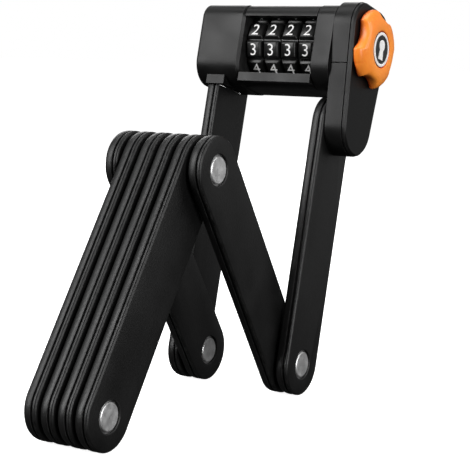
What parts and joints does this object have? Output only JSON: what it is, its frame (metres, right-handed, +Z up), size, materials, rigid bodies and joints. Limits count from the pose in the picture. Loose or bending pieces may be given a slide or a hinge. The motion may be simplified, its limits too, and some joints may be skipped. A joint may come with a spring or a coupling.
{
  "type": "folding bike lock",
  "caption": "Folding bike lock of flat riveted links in plastic sleeves, standing in a zigzag under a barrel head with code dials and a scalloped knob.",
  "frame": {"origin": "middle of the base of the bounding box, on the surface that the link ends stand on", "axes": "+X along the rivets towards the knob, +Y away from the dials' side, +Z up"},
  "size_m": [0.08, 0.1756, 0.1609],
  "materials": {
    "bar_steel": "black painted hardened steel",
    "link_plastic": "black moulded sleeve, fine matt grain",
    "rivet_steel": "satin steel",
    "washer_nylon": "black nylon",
    "clutch_brass": "turned brass",
    "dial_plastic": "black with white digits",
    "core_zinc": "black coated zinc casting",
    "bolt_steel": "plated steel",
    "knob_plastic": "orange satin plastic",
    "badge_plastic": "black disc with an off-white ring",
    "head_plastic": "black moulded cover, satin"
  },
  "bodies": {
    "stack": {"link_3_bar": "bar_steel", "link_3_sleeve": "link_plastic", "rivet_2": "rivet_steel", "washer_2": "washer_nylon", "rivet_3": "rivet_steel", "washer_3": "washer_nylon"},
    "link_4": {"link_4_bar": "bar_steel", "link_4_sleeve": "link_plastic", "rivet_4": "rivet_steel", "washer_4": "washer_nylon"},
    "link_5": {"link_5_bar": "bar_steel", "link_5_sleeve": "link_plastic", "rivet_5": "rivet_steel", "washer_5": "washer_nylon"},
    "link_6": {"link_6_bar": "bar_steel", "link_6_sleeve": "link_plastic", "rivet_6": "rivet_steel", "washer_6": "washer_nylon"},
    "link_7": {"link_7_bar": "bar_steel", "link_7_sleeve": "link_plastic", "rivet_7": "rivet_steel", "washer_7": "washer_nylon"},
    "link_8": {"link_8_bar": "bar_steel", "link_8_sleeve": "link_plastic"},
    "link_2": {"link_2_bar": "bar_steel", "link_2_sleeve": "link_plastic", "rivet_1": "rivet_steel", "washer_1": "washer_nylon"},
    "link_1": {"link_1_bar": "bar_steel", "link_1_sleeve": "link_plastic"},
    "knob": {"knob": "knob_plastic", "knob_badge": "badge_plastic", "knob_screw": "bolt_steel", "bolt_cam": "bolt_steel"},
    "bolt": {"lock_bolt": "bolt_steel"},
    "dial_1": {"dial_1": "dial_plastic", "dial_1_clutch": "clutch_brass"},
    "dial_2": {"dial_2": "dial_plastic", "dial_2_clutch": "clutch_brass"},
    "dial_3": {"dial_3": "dial_plastic", "dial_3_clutch": "clutch_brass"},
    "dial_4": {"dial_4": "dial_plastic", "dial_4_clutch": "clutch_brass"},
    "head": {"rivet_0": "rivet_steel", "washer_0": "washer_nylon", "barrel_core": "core_zinc", "left_cap": "head_plastic", "window_frame": "head_plastic", "collar": "head_plastic", "arm_plate": "bar_steel", "arm_rim_lower": "head_plastic", "arm_rim_upper": "head_plastic", "arm_cover": "head_plastic", "detent_balls": "bolt_steel", "detent_springs": "bolt_steel"}
  },
  "joints": [
    {"name": "top_fold", "type": "hinge", "parent": "stack", "child": "link_2", "pos_m": [0.00967, -0.01912, 0.09565], "axis": [1, 0, 0], "range_deg": [-68, 40]},
    {"name": "top_fold_far", "type": "hinge", "parent": "link_6", "child": "link_7", "pos_m": [-0.02053, -0.01912, 0.09565], "axis": [1, 0, 0], "range_deg": [-68, 40]},
    {"name": "foot_fold", "type": "hinge", "parent": "link_2", "child": "link_1", "pos_m": [0.01723, 0.0368, 0.01275], "axis": [-1, 0, 0], "range_deg": [-48, 60]},
    {"name": "foot_fold_far", "type": "hinge", "parent": "link_7", "child": "link_8", "pos_m": [-0.02807, 0.0368, 0.01275], "axis": [-1, 0, 0], "range_deg": [-48, 60]},
    {"name": "arm_pivot", "type": "hinge", "parent": "link_1", "child": "head", "pos_m": [0.025, 0.06099, 0.10978], "axis": [1, 0, 0], "range_deg": [0, 90]},
    {"name": "stack_swing", "type": "hinge", "parent": "stack", "child": "link_4", "pos_m": [0.00213, -0.07504, 0.01275], "axis": [1, 0, 0], "range_deg": [0, 150]},
    {"name": "stack_swing_far", "type": "hinge", "parent": "link_5", "child": "link_6", "pos_m": [-0.01298, -0.07504, 0.01275], "axis": [-1, 0, 0], "range_deg": [0, 150]},
    {"name": "stack_split", "type": "hinge", "parent": "link_4", "child": "link_5", "pos_m": [-0.00543, -0.01912, 0.09565], "axis": [-1, 0, 0], "range_deg": [0, 120]},
    {"name": "dial_1_turn", "type": "hinge", "parent": "head", "child": "dial_1", "pos_m": [-0.0142, 0.06895, 0.1417], "axis": [1, 0, 0], "continuous": true},
    {"name": "dial_2_turn", "type": "hinge", "parent": "head", "child": "dial_2", "pos_m": [-0.00585, 0.06895, 0.1417], "axis": [1, 0, 0], "continuous": true},
    {"name": "dial_3_turn", "type": "hinge", "parent": "head", "child": "dial_3", "pos_m": [0.0025, 0.06895, 0.1417], "axis": [1, 0, 0], "continuous": true},
    {"name": "dial_4_turn", "type": "hinge", "parent": "head", "child": "dial_4", "pos_m": [0.01085, 0.06895, 0.1417], "axis": [1, 0, 0], "continuous": true},
    {"name": "knob_turn", "type": "hinge", "parent": "head", "child": "knob", "pos_m": [0.034, 0.06895, 0.1417], "axis": [-1, 0, 0], "range_deg": [0, 90]},
    {"name": "bolt_slide", "type": "slide", "parent": "head", "child": "bolt", "axis": [-1, 0, 0], "range_m": [0, 0.008]}
  ],
  "couplings": [
    {"joint": "top_fold_far", "follows": "top_fold", "ratio": 1},
    {"joint": "foot_fold_far", "follows": "foot_fold", "ratio": 1},
    {"joint": "stack_swing_far", "follows": "stack_swing", "ratio": 1},
    {"joint": "knob_turn", "follows": "bolt_slide", "rad_per_m": 196.35}
  ]
}
